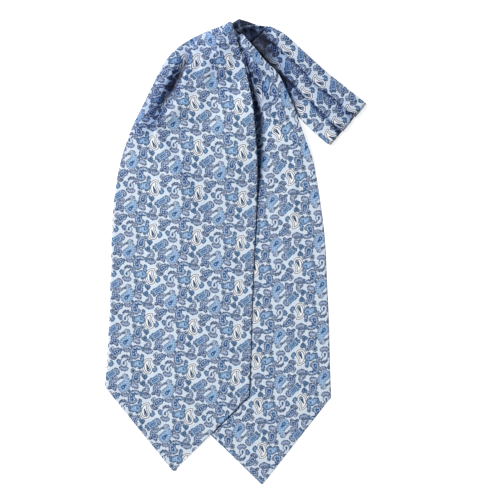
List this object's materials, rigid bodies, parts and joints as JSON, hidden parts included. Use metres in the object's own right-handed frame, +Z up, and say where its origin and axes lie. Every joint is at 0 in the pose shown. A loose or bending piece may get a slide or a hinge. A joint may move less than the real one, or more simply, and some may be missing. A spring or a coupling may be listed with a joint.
{
  "type": "cravat",
  "caption": "Day cravat of printed silk folded in half and laid flat, a wide pointed blade lying over another, with both gathered into a pleated neckband doubled at its centre back.",
  "frame": {"origin": "on the surface the cravat lies on, below the middle of its outline", "axes": "+Z up from that surface, +Y along the blades towards the throat, +X to the right, towards the neckband's fold at the centre back"},
  "size_m": [0.2619, 0.4651, 0.0156],
  "materials": {
    "blade_front": "fine printed silk twill with a soft sheen",
    "blade_under": "fine printed silk twill with a soft sheen",
    "neckband_core": "fine printed silk twill with a soft sheen",
    "neckband_pleat_lower": "fine printed silk twill with a soft sheen",
    "neckband_pleat_middle": "fine printed silk twill with a soft sheen",
    "neckband_pleat_upper": "fine printed silk twill with a soft sheen",
    "neckband_turn": "fine printed silk twill with a soft sheen"
  },
  "bodies": {
    "root": {"blade_front": "blade_front", "blade_under": "blade_under", "neckband_core": "neckband_core", "neckband_pleat_lower": "neckband_pleat_lower", "neckband_pleat_middle": "neckband_pleat_middle", "neckband_pleat_upper": "neckband_pleat_upper", "neckband_turn": "neckband_turn"}
  },
  "joints": []
}
